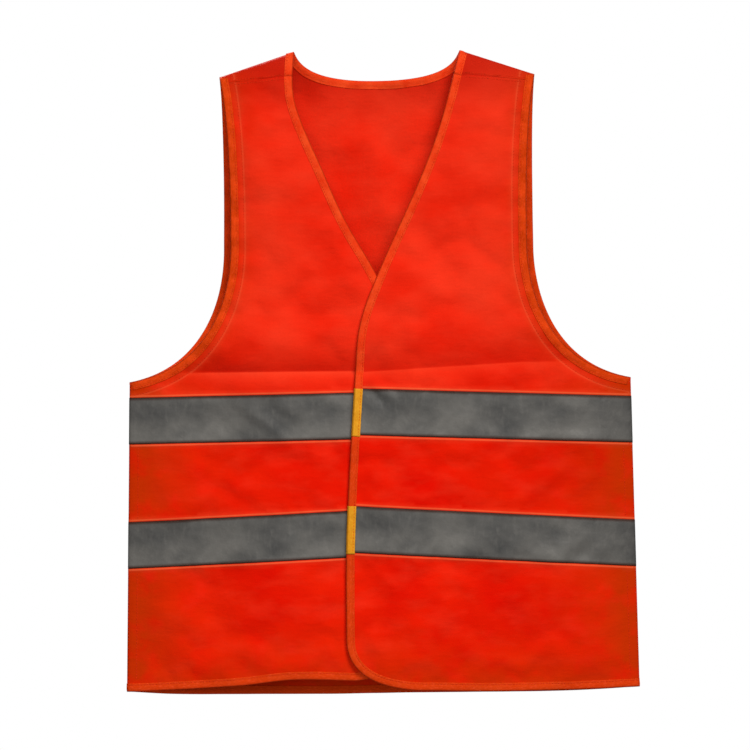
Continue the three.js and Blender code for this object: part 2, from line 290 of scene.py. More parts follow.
class Face:
    """One hanging face of the vest: where its cloth lies, and which way is out."""

    def __init__(self, out, belly, tapes, side=0, lap=0.0):
        self.out, self.belly, self.tapes, self.side, self.lap = out, belly, tapes, side, lap
        self.layer = "front" if side else "back"
        self.relief = Field()

    def tape_centre(self, level, x):
        inner, outer = self.tapes[level]
        if self.side:
            share = (self.side * x - TAPE_START) / (UNDERARM[0] - TAPE_START)
        else:
            share = (x / HEM[0]) ** 2
        return inner + (outer - inner) * share

    def along_tapes(self, x, *outs):
        """Lines that run these distances outside each tape's edges."""
        return [line(x, self.tape_centre(level, x) + edge * (TAPE_HALF + out))
                for level in self.tapes for edge in (-1, 1) for out in outs]

    def from_tape(self, x, z):
        """Distance to the nearest tape's centre line."""
        return np.minimum(*[np.abs(z - self.tape_centre(level, x)) for level in self.tapes])

    def tape_ridge(self, x, z):
        """1 on the ridge of cloth outside a tape's edge, and 0 away from it."""
        return hump(self.from_tape(x, z) - TAPE_HALF - RIDGE_OUT, RIDGE_SLOPE)

    def pile(self, x, z):
        """Height that a tape adds under whatever lies on the cloth."""
        inside_edge = TAPE_HALF + TAPE_STEP / 2 - self.from_tape(x, z)
        return (TAPE_TOP - TAPE_LOW + TAPE_CLEAR) * smooth(inside_edge / TAPE_STEP)

    def off(self, x, z):
        """Distance from the middle plane to the middle of the cloth."""
        below = shoulder_height(x) - z
        rounded = SHOULDER_DEPTH * (1 - np.exp(-(below + SHOULDER_OPEN) / SHOULDER_ROUNDING))
        bulge = self.belly * np.clip((BELLY_START - z) / (BELLY_START - HEM[1]), 0, None)
        across = np.clip((np.abs(x) - FLAT_HALF) / (half_width(z) - FLAT_HALF), 0, None)
        depth = SEAM_GAP + (rounded + bulge) * (1 - across**2)
        depth = depth + self.lap * (1 - smooth((x - LAP_FULL) / (LAP_END - LAP_FULL)))
        side = roll((half_width(z) - np.abs(x)) / SIDE_ROLL)
        ridge = roll(below / RIDGE_ROLL)
        calm = smooth((depth - SEAM_GAP) / CALM) * ridge
        lift = RIDGE_LIFT * self.tape_ridge(x, z) * side
        return ridge * (SEAM_TOUCH + (depth - SEAM_TOUCH) * side) + self.relief(x, z) * calm + lift

    def normal(self, x, z):
        step = 0.75
        slope_x = (self.off(x + step, z) - self.off(x - step, z)) / (2 * step)
        slope_z = (self.off(x, z + step) - self.off(x, z - step)) / (2 * step)
        return unit(np.stack([-slope_x, np.full_like(slope_x, self.out), -slope_z], axis=-1))

    def point(self, x, z, high=0.0):
        flat = np.stack([x, self.out * self.off(x, z), z], axis=-1)
        return flat + self.normal(x, z) * np.asarray(high)[..., None]


# ---- meshes

def add_object(name, data):
    made = bpy.data.objects.new(name, data)
    bpy.context.scene.collection.objects.link(made)
    return made


def make(name, points, faces, finish, uv):
    """A piece from points and faces in millimetres, of one of the MATERIALS.

    uv holds each point's place on the cloth.
    """
    mesh = bpy.data.meshes.new(name)
    mesh.from_pydata((np.asarray(points) * MM).tolist(), [], [list(f) for f in faces])
    layer = mesh.uv_layers.new(name="cloth")
    corners = np.zeros(len(mesh.loops), int)
    mesh.loops.foreach_get("vertex_index", corners)
    layer.data.foreach_set("uv", (np.asarray(uv) * MM)[corners].ravel())
    work = bmesh.new()
    work.from_mesh(mesh)
    bmesh.ops.recalc_face_normals(work, faces=work.faces)
    work.to_mesh(mesh)
    work.free()
    mesh.shade_smooth()
    mesh.materials.append(MATERIALS[finish])
    return add_object(name, mesh)


def mark(piece, name, values):
    attribute = piece.data.attributes.new(name, "FLOAT", "POINT")
    attribute.data.foreach_set("value", np.asarray(values, np.float32))


def inside(outline, points):
    x, z = points.T
    odd = np.zeros(len(points), bool)
    for (x0, z0), (x1, z1) in zip(outline, np.roll(outline, -1, axis=0)):
        if z0 != z1:
            odd ^= ((z0 > z) != (z1 > z)) & (x < (x1 - x0) * (z - z0) / (z1 - z0) + x0)
    return odd


def clearance(points, others):
    tree = kdtree.KDTree(len(others))
    for i, (x, z) in enumerate(others):
        tree.insert((x, z, 0), i)
    tree.balance()
    return np.array([tree.find((x, z, 0))[2] for x, z in points])


def triangulate(outline, guides=(), cell=CELL):
    """Points and triangles that fill an outline, with rows of points along the guides."""
    kept = [outline]
    for guide in guides:
        guide = guide[inside(outline, guide)]
        kept.append(guide[clearance(guide, np.vstack(kept)) > 0.9])
    fixed = np.vstack(kept)
    low, high = outline.min(0), outline.max(0)
    rows = np.arange(low[1], high[1], cell * 0.87)
    columns = np.arange(low[0], high[0], cell)
    grid = np.array([(x + (k % 2) * cell / 2, z) for k, z in enumerate(rows) for x in columns])
    grid = grid[inside(outline, grid)]
    grid = grid[clearance(grid, fixed) > 0.6 * cell]
    every = np.vstack([fixed, grid])
    loop = [list(range(len(outline)))]
    points, _, faces, *_ = delaunay_2d_cdt([Vector(p) for p in every], [], loop, 1, 1e-5)
    return np.array([tuple(p) for p in points]), np.array(faces)


def vertex_normals(points, triangles):
    a, b, c = (points[triangles[:, k]] for k in range(3))
    total = np.zeros_like(points)
    for k in range(3):
        np.add.at(total, triangles[:, k], np.cross(b - a, c - a))
    return unit(total)


def shell(points, triangles, thickness, rough=0.0):
    """A closed sheet of that thickness about its middle. rough raises points of its outer side."""
    normals = vertex_normals(points, triangles)
    outer = points + normals * (thickness / 2 + np.reshape(rough, (-1, 1)))
    inner = points - normals * thickness / 2
    count = len(points)
    edges = np.vstack([triangles[:, [0, 1]], triangles[:, [1, 2]], triangles[:, [2, 0]]])
    rim = edges[~np.isin(edges[:, 0] * count + edges[:, 1], edges[:, 1] * count + edges[:, 0])]
    walls = np.column_stack([rim[:, 1], rim[:, 0], rim[:, 0] + count, rim[:, 1] + count])
    faces = [*triangles.tolist(), *(triangles[:, ::-1] + count).tolist(), *walls.tolist()]
    return np.vstack([outer, inner]), faces


def loft(rings, closed=False):
    """Points and faces of a skin over closed rings, capped at both ends unless it closes."""
    count, size = rings.shape[:2]
    index = np.arange(count * size).reshape(count, size)
    near = index if closed else index[:-1]
    far = np.roll(index, -1, axis=0) if closed else index[1:]
    quads = np.stack([near, np.roll(near, -1, axis=1), np.roll(far, -1, axis=1), far], axis=-1)
    caps = [] if closed else [index[0][::-1].tolist(), index[-1].tolist()]
    return rings.reshape(-1, 3), quads.reshape(-1, 4).tolist() + caps


def ring_uv(rings):
    """Along and round a skin, in millimetres."""
    along = arc_length(rings.mean(axis=1))
    around = arc_length(rings[len(rings) // 2])
    return np.stack(np.meshgrid(along, around, indexing="ij"), axis=-1).reshape(-1, 2)


def clip(outline, a, b):
    """The part of an outline to the left of the line from a to b."""
    a, b = np.array(a, float), np.array(b, float)
    left = np.array([-(b - a)[1], (b - a)[0]])
    side = (outline - a) @ left
    kept = []
    for p, q, s, t in zip(outline, np.roll(outline, -1, axis=0), side, np.roll(side, -1)):
        if s >= 0:
            kept.append(p)
        if (s >= 0) != (t >= 0):
            kept.append(p + (q - p) * s / (s - t))
    return np.array(kept)


def dense(outline, spacing=CELL):
    """The outline with points added where they are far apart."""
    parts = []
    for p, q in zip(outline, np.roll(outline, -1, axis=0)):
        steps = max(1, round(float(np.linalg.norm(q - p)) / spacing))
        parts.append(p + (q - p) * np.linspace(0, 1, steps, endpoint=False)[:, None])
    points = np.vstack(parts)
    apart = np.linalg.norm(points - np.roll(points, 1, axis=0), axis=1)
    return points[apart > 0.3]


# ---- relief

def swell(field, size, height, count=9):
    """Low waves in all directions, from size down to half of it."""
    for _ in range(count):
        turn = rng.uniform(0, math.pi)
        wave = rng.uniform(0.5, 1.0) * size
        phase = rng.uniform(0, 2 * math.pi)
        along = field.grid_x * math.cos(turn) + field.grid_z * math.sin(turn)
        field.height += height / math.sqrt(count) * 1.4 * np.sin(2 * math.pi * along / wave + phase)


def pucker(field, path, height, pitch=15.0):
    """Small gathers along a line of stitches."""
    path = even(path, 2.0)
    along = arc_length(path)
    phase = rng.uniform(0, 2 * math.pi)
    gather = np.sin(2 * math.pi * along / pitch + 1.3 * np.sin(along / 31 + phase) + phase)
    strength = 0.65 + 0.35 * np.sin(along / 47 + 2 * phase)
    field.stamp(path, 3.0 * height * gather * strength, 4.0)


def crease(field, start, end, height, radius):
    """A ridge, or with a negative height a valley, that fades at its ends."""
    path = even(np.array([start, end], float), 2.0)
    fade = np.sin(np.linspace(0, math.pi, len(path))) ** 0.6
    field.stamp(path, height * fade, radius)


def crease_level(x):
    """Height of the fold across the chest."""
    return np.interp(x, [-197, -30, -17, 151], [-340, -340, -341, -332])


def crease_strength(x):
    """The fold fades towards the armholes, and is softer on the wearer's left."""
    return smooth((x + 235) / 60) * smooth((215 - x) / 70) * np.interp(x, [-60, 20], [1.0, 0.6])


def storage_fold(field):
    """The fold across the chest that storage left: a kinked valley."""
    x, z = field.grid_x, field.grid_z
    level = crease_level(x)
    reach = np.where(z > level, FOLD_UP, FOLD_DOWN)
    kink = np.exp(-(np.sqrt((z - level) ** 2 + 1.0) - 1.0) / reach)
    puff = PUFF * hump(z - level - PUFF_UP, PUFF_REACH)
    field.height += (puff - FOLD_DEPTH * kink) * crease_strength(x)


def hem_waves(field, height):
    """Folds that run down the lower part, each a mix of two spacings."""
    x, z = field.grid_x, field.grid_z
    start, reach = HEM_WAVES
    depth = smooth((start - z) / reach)
    field.height += height * depth * (np.sin(x / 17 + 0.9) * 0.5 + np.sin(x / 29 - 0.4))


# ---- materials

def linear(red, green, blue):
    """A colour's linear value from its display value in 0 to 255."""
    display = (red / 255, green / 255, blue / 255)
    return (*[((c + 0.055) / 1.055) ** 2.4 if c > 0.04 else c / 12.92 for c in display], 1)


def shaded(colour, times, plus=0.0):
    return (*[min(1.0, c * times + plus) for c in colour[:3]], 1)


class Shader:
    """A material's nodes. Places on the cloth come from its own map, in metres."""

    def __init__(self, name, **sockets):
        self.material = bpy.data.materials.new(name)
        self.material.use_nodes = True
        self.tree = self.material.node_tree
        self.surface = self.tree.nodes["Principled BSDF"]
        for socket, value in sockets.items():
            self.surface.inputs[socket.replace("_", " ")].default_value = value
        place = self.tree.nodes.new("ShaderNodeUVMap")
        place.uv_map = "cloth"
        self.place = place.outputs[0]
        parts = self.tree.nodes.new("ShaderNodeSeparateXYZ")
        self.tree.links.new(self.place, parts.inputs[0])
        self.along, self.across = parts.outputs[0], parts.outputs[1]

    def feed(self, socket, value):
        """Links a socket to another node's output, or sets it to a value."""
        if isinstance(value, bpy.types.NodeSocket):
            self.tree.links.new(value, socket)
        elif value is not None:
            socket.default_value = value

    def node(self, kind, *inputs, **settings):
        made = self.tree.nodes.new(kind)
        for key, value in settings.items():
            setattr(made, key, value)
        for socket, value in zip(made.inputs, inputs):
            self.feed(socket, value)
        return made

    def math(self, operation, a, b=None, c=None):
        return self.node("ShaderNodeMath", a, b, c, operation=operation).outputs[0]

    def wave(self, along, pitch, phase=0.0):
        """A sine of -1 to 1 along a coordinate, with that pitch in millimetres."""
        return self.math("SINE", self.math("MULTIPLY_ADD", along, 2 * math.pi / (pitch * MM), phase))

    def times(self, a, b):
        return self.math("MULTIPLY", a, b)

    def noise(self, size, detail=2.0, stretch=(1, 1)):
        """Noise of 0 to 1 with that feature size in millimetres."""
        scale = (*[1 / (size * s * MM) for s in stretch], 1)
        place = self.node("ShaderNodeVectorMath", self.place, scale, operation="MULTIPLY").outputs[0]
        made = self.node("ShaderNodeTexNoise", place)
        self.feed(made.inputs["Scale"], 1)
        self.feed(made.inputs["Detail"], detail)
        return made.outputs[0]

    def cells(self, size):
        """Distance from the middle of a cell, for cells of that size in millimetres."""
        made = self.node("ShaderNodeTexVoronoi", self.place)
        made.inputs["Scale"].default_value = 1 / (size * MM)
        return made.outputs["Distance"]

    def ramp(self, value, low, high):
        """0 below low, 1 above high."""
        return self.node("ShaderNodeMapRange", value, low, high, 0.0, 1.0).outputs[0]

    def mix(self, factor, a, b):
        made = self.node("ShaderNodeMix", factor, data_type="RGBA")
        self.feed(made.inputs[6], a)
        self.feed(made.inputs[7], b)
        return made.outputs[2]

    def attribute(self, name):
        return self.node("ShaderNodeAttribute", attribute_name=name).outputs["Fac"]

    def bump(self, height, distance, strength=1.0, below=None):
        made = self.node("ShaderNodeBump")
        for name, value in (("Strength", strength), ("Distance", distance * MM), ("Height", height),
                            ("Normal", below)):
            self.feed(made.inputs[name], value)
        return made.outputs[0]

    def finish(self, colour, bump, roughness=None):
        for name, value in (("Base Color", colour), ("Normal", bump), ("Roughness", roughness)):
            self.feed(self.surface.inputs[name], value)
        return self.material


def knit_material():
    """Fine fluorescent tricot: wales and courses, a slightly slubbed surface and uneven dye; lighter above
    the chest and browner near its edges; painted shade over the shoulders and above the chest fold, and
    painted highlights on small ridges and below that fold.
    """
    s = Shader("tricot", Roughness=0.85, Sheen_Weight=0.06, Sheen_Roughness=0.5, Specular_IOR_Level=0.03,
               Sheen_Tint=linear(255, 110, 70), Specular_Tint=linear(255, 90, 50))
    wale = s.math("ABSOLUTE", s.wave(s.along, 2.6))
    course = s.math("MULTIPLY_ADD", s.wave(s.across, 1.1), 0.3, 0.7)
    loops = s.times(wale, course)
    dye = s.noise(95, 3.0)
    low = s.mix(s.ramp(dye, 0.35, 0.65), linear(218, 13, 2), linear(230, 28, 5))
    high = s.mix(s.ramp(dye, 0.35, 0.65), linear(232, 34, 12), linear(242, 54, 28))
    # lighter and more salmon above the chest, deeper red below it
    colour = s.mix(s.ramp(s.across, -0.42, -0.28), low, high)
    blotch = s.ramp(s.noise(26, 4.0, (1.6, 0.8)), 0.45, 0.75)
    colour = s.mix(s.times(blotch, 0.3), colour, linear(244, 62, 36))
    # painted shade: the cloth darkens towards the top, where it turns back over the shoulders
    shade = s.times(s.ramp(s.across, -0.07, -0.02), 0.6)
    colour = s.mix(shade, colour, linear(150, 16, 6))
    # browner and darker in patches near the sides, hem and armholes
    browner = s.times(s.attribute("tint_and_edge_shadow"), s.ramp(s.noise(30, 3.0), 0.2, 0.52))
    colour = s.mix(browner, colour, linear(190, 46, 3))
    # painted shade just above the chest fold
    colour = s.mix(s.attribute("painted_fold_shade"), colour, linear(176, 6, 1))
    # painted highlight on the ridges of cloth beside the tapes and armhole facings, and just below the
    # chest fold
    colour = s.mix(s.attribute("painted_highlight"), colour, linear(240, 104, 60))
    fine = s.times(s.times(loops, s.noise(1.4, 1.0)), 0.4)
    colour = s.mix(fine, colour, linear(196, 18, 6))
    slub = s.bump(s.noise(5.5, 3.0, (1.8, 0.7)), 0.35)
    crumple = s.bump(s.noise(17, 2.0), 0.8, 1.0, slub)
    weave = s.bump(loops, 0.16, 0.5, crumple)
    return s.finish(colour, weave, s.ramp(s.noise(8), -0.9, 1.6))


def binding_material(name, light, dark, bottom_colour):
    """Woven edge tape: cross ribs, with a fray of paler threads, darker towards the bottom where its tint
    says so, and painted shade along its outer fold.
    """
    s = Shader(name, Roughness=0.8, Sheen_Weight=0.05, Sheen_Roughness=0.45, Specular_IOR_Level=0.02,
               Sheen_Tint=light, Specular_Tint=light)
    weave = s.times(s.wave(s.along, 1.1), s.wave(s.across, 1.5))
    colour = s.mix(s.ramp(s.noise(14, 3.0), 0.35, 0.7), dark, light)
    # darker towards the bottom of the vest, where the tint says so
    colour = s.mix(s.times(s.attribute("tint_and_edge_shadow"), 0.75), colour, bottom_colour)
    frayed = s.times(s.ramp(s.noise(2.2, 2.0, (2.0, 0.6)), 0.5, 0.75), 0.35)
    colour = s.mix(frayed, colour, shaded(light, 1.25, 0.02))
    from_fold = s.math("ABSOLUTE", s.math("SUBTRACT", s.across, FOLD_ROUND * MM))
    # painted shade along the trim's outer fold, where it turns under the edge
    fold_line_shade = s.math("SUBTRACT", 0.75, s.times(s.ramp(from_fold, 0.4 * MM, 1.7 * MM), 0.75))
    colour = s.mix(fold_line_shade, colour, shaded(dark, 0.42))
    soft = s.bump(s.noise(4.5, 2.0), 0.5)
    return s.finish(colour, s.bump(weave, 0.14, 0.6, soft), s.ramp(s.noise(6), -1.2, 1.4))


def tape_material():
    """Glass bead retroreflective tape: satin grey, beaded, a little rubbed, with painted shadow along its
    edges, browned by a painted orange reflection.
    """
    s = Shader("retroreflective_tape", Roughness=0.45, Metallic=0.45, Specular_IOR_Level=0.3)
    wide = s.noise(48, 3.0, (1.4, 1.0))
    colour = s.mix(s.ramp(wide, 0.35, 0.65), linear(72, 71, 69), linear(104, 101, 96))
    rub = s.ramp(s.noise(7, 4.0, (0.7, 1.6)), 0.5, 0.8)
    colour = s.mix(s.times(rub, 0.3), colour, linear(116, 112, 106))
    # painted shadow along the tape's edges, browned by a painted reflection of the orange cloth
    colour = s.mix(s.attribute("tint_and_edge_shadow"), colour, linear(58, 26, 14))
    grain = s.bump(s.cells(0.45), 0.08, 0.35)
    cloth = s.bump(s.noise(11, 2.0), 0.7, 1.0, grain)
    return s.finish(colour, cloth, s.ramp(s.noise(9, 3.0), -0.9, 1.5))


def thread_material(name, colour):
    s = Shader(name, Roughness=0.7, Specular_IOR_Level=0.02, Specular_Tint=colour)
    twist = s.wave(s.math("ADD", s.along, s.across), 0.7)
    shade = s.mix(s.ramp(s.noise(9), 0.3, 0.7), colour, shaded(colour, 0.8))
    return s.finish(shade, s.bump(twist, 0.08, 0.6))


def pile_material(name, light, dark, size):
    """Hook or loop pile."""
    s = Shader(name, Roughness=0.9, Sheen_Weight=0.06, Sheen_Roughness=0.6, Specular_IOR_Level=0.03,
               Sheen_Tint=light, Specular_Tint=light)
    tufts = s.cells(size)
    return s.finish(s.mix(s.ramp(tufts, 0.1, 0.7), light, dark), s.bump(tufts, -0.4))


def floor_material():
    made = bpy.data.materials.new("pale_floor")
    made.use_nodes = True
    surface = made.node_tree.nodes["Principled BSDF"]
    for socket, value in (("Base Color", (0.9, 0.9, 0.9, 1)), ("Roughness", 0.9),
                          ("Emission Color", (1, 1, 1, 1)), ("Emission Strength", FLOOR_GLOW)):
        surface.inputs[socket].default_value = value
    return made


# ---- stage

VIEW_CENTRE = (-5.4, -345)  # what the camera looks at: x and height
VIEW_WIDTH = 794          # how much it sees across the vest's front
VIEW_DISTANCE = 3500
VIEW_TURN = 0.6           # the vest hangs turned by this many degrees in the view
FLOOR_RADIUS, FLOOR_LEVEL = 6, -1.6  # metres
FLOOR_GLOW, SKY_LIGHT = 0.15, 0.2
SUN_ANGLE = 24            # degrees: its shadows are soft


def add_camera():
    data = bpy.data.cameras.new("camera")
    data.sensor_width = 36
    data.lens = data.sensor_width * (VIEW_DISTANCE - SHOULDER_DEPTH - FRONT_BELLY) / VIEW_WIDTH
    camera = add_object("camera", data)
    camera.location = Vector((VIEW_CENTRE[0], -VIEW_DISTANCE, VIEW_CENTRE[1])) * MM
    camera.rotation_euler = (math.pi / 2, math.radians(VIEW_TURN), 0)
    bpy.context.scene.camera = camera


def add_light(name, location, size, power):
    data = bpy.data.lights.new(name, "AREA")
    data.shape = "DISK"
    data.size = size
    data.energy = power
    light = add_object(name, data)
    light.location = location
    aim = Vector((0, 0, VIEW_CENTRE[1] * MM)) - light.location
    light.rotation_euler = aim.to_track_quat("-Z", "Y").to_euler()


def add_sun(name, toward, strength):
    """Even light from far off."""
    data = bpy.data.lights.new(name, "SUN")
    data.energy = strength
    data.angle = math.radians(SUN_ANGLE)
    add_object(name, data).rotation_euler = Vector(toward).to_track_quat("Z", "Y").to_euler()


def add_floor():
    """A pale floor that lights nothing, so that the light from above shows the cloth's relief."""
    bpy.ops.mesh.primitive_circle_add(vertices=96, radius=FLOOR_RADIUS, fill_type="NGON",
                                      location=(0, 0, FLOOR_LEVEL))
    floor = bpy.context.object
    floor.name = "floor"
    floor.data.materials.append(floor_material())
    floor.visible_diffuse = floor.visible_glossy = False


def add_world():
    """White where the camera sees it, and a weak even light on the vest."""
    world = bpy.data.worlds.new("studio")
    world.use_nodes = True
    nodes, links = world.node_tree.nodes, world.node_tree.links
    sky, seen = nodes["Background"], nodes.new("ShaderNodeBackground")
    for background, strength in ((sky, SKY_LIGHT), (seen, 1.0)):
        background.inputs["Color"].default_value = (1, 1, 1, 1)
        background.inputs["Strength"].default_value = strength
    path = nodes.new("ShaderNodeLightPath")
    either = nodes.new("ShaderNodeMixShader")
    for k, output in enumerate((path.outputs["Is Camera Ray"], sky.outputs[0], seen.outputs[0])):
        links.new(output, either.inputs[k])
    links.new(either.outputs[0], nodes["World Output"].inputs["Surface"])
    bpy.context.scene.world = world
    bpy.context.scene.view_settings.view_transform = "Standard"


def add_lights():
    """Places and sizes in metres, powers in watts."""
    add_sun("sun", (0.4, -0.85, 0.9), 2.5)
    add_light("chest", (-0.2, -2.4, 0.1), 1.6, 10)
    add_light("fill", (-2.2, -2.2, -0.2), 1.6, 12)
    add_light("hem", (0.2, -2.2, -1.3), 1.0, 7)
    add_light("back_key", (-1.6, 2.6, 1.6), 1.8, 125)
    add_light("back_fill", (2.0, 2.4, 0.2), 1.6, 40)


# ---- the vest

FACES = {
    "left": Face(-1, FRONT_BELLY, TAPES["left"], side=1, lap=LAP),
    "right": Face(-1, FRONT_BELLY, TAPES["right"], side=-1),
    "back": Face(1, BACK_BELLY, TAPES["back"]),
}
GATHERED = {"left": (-60, SIDE_REACH), "right": (-SIDE_REACH, 60), "back": (-270, 270)}
SEWN = {"left": (-24, 268), "right": (-268, 14), "back": (-268, 268)}     # x of the tapes' stitches
SIDES = {"left": 1, "right": -1}
ARMHOLES = {
    "left": {"front": armhole_path(FRONT_ARMHOLE_INSET), "back": armhole_path(0)},
    "right": {"front": mirrored(armhole_path(FRONT_ARMHOLE_INSET)), "back": mirrored(armhole_path(0))},
}
EDGES = {"left": left_front_path(), "right": mirrored(right_front_path())}
NECK = neck_path()
BACK_HEM = back_hem_path()

# Sections of a trim and of the amber one over it: distance in from the fold, and height.
TRIM_FACE = np.array([(8.9, 0.45), (8.8, 0.88), (8.2, 0.95), (7.2, 0.78), (6.0, 1.08), (4.2, 1.3),
                      (2.4, 1.32), (0.9, 1.02), (0.15, 0.45)])
TRIM_SECTION = np.vstack([TRIM_FACE, [(0, 0)], TRIM_FACE[::-1] * (1, -1),
                          [(5, -0.45), (1.1, -0.45), (1.0, 0), (1.1, 0.45), (5, 0.45)]])
COVER_SECTION = np.array([
    (9.2, 0.5), (9.15, 1.0), (8.3, 1.15), (7.2, 1.02), (6.0, 1.32), (4.2, 1.55), (2.4, 1.58), (0.7, 1.28),
    (-0.2, 0.5), (-0.3, -0.1), (-0.05, -0.1), (0.1, 0.48), (0.85, 1.05), (2.4, 1.36), (4.2, 1.34),
    (6.0, 1.12), (7.2, 0.82), (8.3, 0.98), (8.9, 0.9)])


def own_side(path, side):
    """A path drawn on the wearer's left, on its own side, with the fabric on its left."""
    return path if side > 0 else mirrored(path)


def front_relief():
    """One pattern for both fronts, so that they lie on each other."""
    field = Field()
    swell(field, 190, 1.2)
    swell(field, 62, 0.32)
    storage_fold(field)
    hem_waves(field, 1.0)
    for fold in FRONT_CREASES:
        crease(field, *fold)
    FACES["right"].relief.height = field.height.copy()
    field.height += drape(FACES["right"], EDGES.values())
    return field


def add_front_relief(name, shared):
    relief, armhole = FACES[name].relief, ARMHOLES[name]["front"]
    relief.height = shared.height.copy()
    pucker(relief, offset(EDGES[name], TRIM_STITCH), 0.22)
    pucker(relief, offset(armhole, TRIM_STITCH), 0.25)
    groove = offset(armhole, FACING_WIDTH)
    relief.stamp(groove, np.full(len(groove), -0.8), 2.6)
    add_tape_gathers(name)


def add_back_relief():
    back = FACES["back"].relief
    swell(back, 210, 1.6)
    swell(back, 66, 0.35)
    hem_waves(back, 0.8)
    for fold in BACK_CREASES:
        crease(back, *fold)
    back.height += drape(FACES["back"], [])
    for path in (NECK, BACK_HEM, ARMHOLES["left"]["back"], ARMHOLES["right"]["back"]):
        pucker(back, offset(path, TRIM_STITCH), 0.22)
    add_tape_gathers("back")


def drape(face, held):
    """Lets spare cloth between the held lines sag and buckle in a simulation, and keeps its folds.

    The cloth is the face's whole width, held along its outline, its tapes and the held lines.
    """
    outline = back_outline()
    outline = even(np.vstack([outline, outline[:1]]), DRAPE_CELL)[:-1]
    flat, faces = triangulate(outline, cell=DRAPE_CELL)
    points = face.point(*flat.T)
    piece = make("draped", points, faces, "cloth", flat)
    fixed = (clearance(flat, np.vstack([outline, *held])) < TRIM_WIDTH + 1) | (
        face.from_tape(*flat.T) < TAPE_HALF + 1)
    pins = piece.vertex_groups.new(name="held")
    pins.add(np.flatnonzero(fixed).tolist(), 1.0, "REPLACE")
    moved = settle(piece)[:, 1] / MM * face.out - face.off(*flat.T)
    bpy.data.objects.remove(piece)
    return spread(flat, DRAPE_LIMIT * np.tanh(moved / DRAPE_LIMIT))


def settle(piece):
    """Runs the knit's simulation on a piece, and returns where its points end."""
    cloth = piece.modifiers.new("cloth", "CLOTH")
    knit = cloth.settings
    knit.vertex_group_mass = "held"
    knit.quality = 6
    knit.mass = CLOTH_WEIGHT * (DRAPE_CELL * MM) ** 2
    knit.tension_stiffness = knit.compression_stiffness = 12
    knit.shear_stiffness = 4
    knit.bending_stiffness = 0.35
    knit.air_damping = 3
    knit.shrink_min = -SPARE_CLOTH
    cloth.collision_settings.use_collision = False
    cloth.point_cache.frame_end = DRAPE_FRAMES
    for step in range(1, DRAPE_FRAMES + 1):
        bpy.context.scene.frame_set(step)
    settled = np.zeros(len(piece.data.vertices) * 3)
    shape = piece.evaluated_get(bpy.context.evaluated_depsgraph_get()).data
    shape.vertices.foreach_get("co", settled)
    bpy.context.scene.frame_set(1)
    return settled.reshape(-1, 3)


def spread(flat, heights):
    """Heights at scattered points, as a smooth grid."""
    total, weight = Field(), Field()
    places, away = total.near(flat, 1.6 * DRAPE_CELL)
    share = np.exp(-away / (0.6 * DRAPE_CELL) ** 2)
    np.add.at(total.height, places, share * heights[:, None, None])
    np.add.at(weight.height, places, share)
    return total.height / (weight.height + 1e-3)


def add_tape_gathers(name):
    for path in FACES[name].along_tapes(np.arange(*GATHERED[name], 2.0), -1):
        pucker(FACES[name].relief, path, 0.2, 17.0)


def ridge_line(side):
    x = np.linspace(SHOULDER[0] - BOUND, NECK_HALF + BOUND, 21)
    return own_side(line(x, shoulder_height(x)), side)


def front_outline(name):
    edge, armhole = offset(EDGES[name], BOUND), offset(ARMHOLES[name]["front"], BOUND)
    if SIDES[name] > 0:
        return dense(np.vstack([edge[1:], armhole[:-1], ridge_line(1)]))
    return dense(np.vstack([edge[:-1], ridge_line(-1), armhole[1:]]))


def back_outline():
    left, right = (offset(ARMHOLES[name]["back"], BOUND) for name in SIDES)
    hem, neck = offset(BACK_HEM, BOUND), offset(NECK, BOUND)
    return dense(np.vstack([hem, left[:-1], ridge_line(1), neck[1:-1], ridge_line(-1), right[1:]]))


def guide_rows(face):
    """Rows of points that the cloth needs where it turns sharply."""
    x = np.arange(-272, 273, 3.5)
    rows = face.along_tapes(x, 0.1, RIDGE_OUT, 2 * RIDGE_OUT)
    rows += [line(x, crease_level(x) + out) for out in (-1.5, 0, 1.5)]
    rows += [offset(armholes[face.layer], FACING_RIDGE + further)
             for armholes in ARMHOLES.values() for further in (-1.4, 0, 1.4)]
    z = np.arange(HEM[1], UNDERARM[1], CELL)
    rows += [line(side * (half_width(z) - SIDE_ROLL * t), z) for side in (-1, 1) for t in (0.12, 0.4)]
    x = np.arange(NECK_HALF, SHOULDER[0], CELL)
    return rows + [line(side * x, shoulder_height(x) - below)
                   for side in (-1, 1) for below in (0.7, 2.2, 4.6, 8)]


def tints_and_painted_light(face, flat):
    """For each point: how much browner it is near a side, hem or armhole, how much painted highlight it
    gets on a ridge of cloth or just below the fold, and how much painted shade just above the fold.
    """
    x, z = flat.T
    from_armhole = clearance(flat, np.vstack([a[face.layer] for a in ARMHOLES.values()]))
    side = 1.35 * np.exp(-(half_width(z) - np.abs(x)) / BROWNING_SIDE) * smooth((UNDERARM[1] + 25 - z) / 40)
    hem = np.exp(-(z - HEM[1]) / BROWNING_HEM)
    arm = 0.9 * np.exp(-from_armhole / BROWNING_ARMHOLE)
    edge = np.clip(np.maximum.reduce([side, hem, arm]), 0, 1)
    above = z - crease_level(x)
    strength = crease_strength(x) * (face.side != 0)
    # painted shade: darker just above the chest fold
    fold = 0.55 * strength * np.where(above > -0.1, np.exp(-above / 12), 0)
    # painted highlight just below the chest fold
    lit = 0.22 * strength * np.where(above < -0.1, np.exp(above / 6), 0)
    # painted highlight along the ridge over the armhole facing
    facing = 0.3 * hump(from_armhole - FACING_RIDGE, 1.1)
    # painted highlight on the ridge of cloth outside each tape's edge
    return np.column_stack([edge, np.maximum.reduce([0.75 * face.tape_ridge(x, z), facing, lit]), fold])


def fitted(face, outline):
    """A face with the points and triangles that fill an outline on it."""
    return face, *triangulate(outline, guide_rows(face))


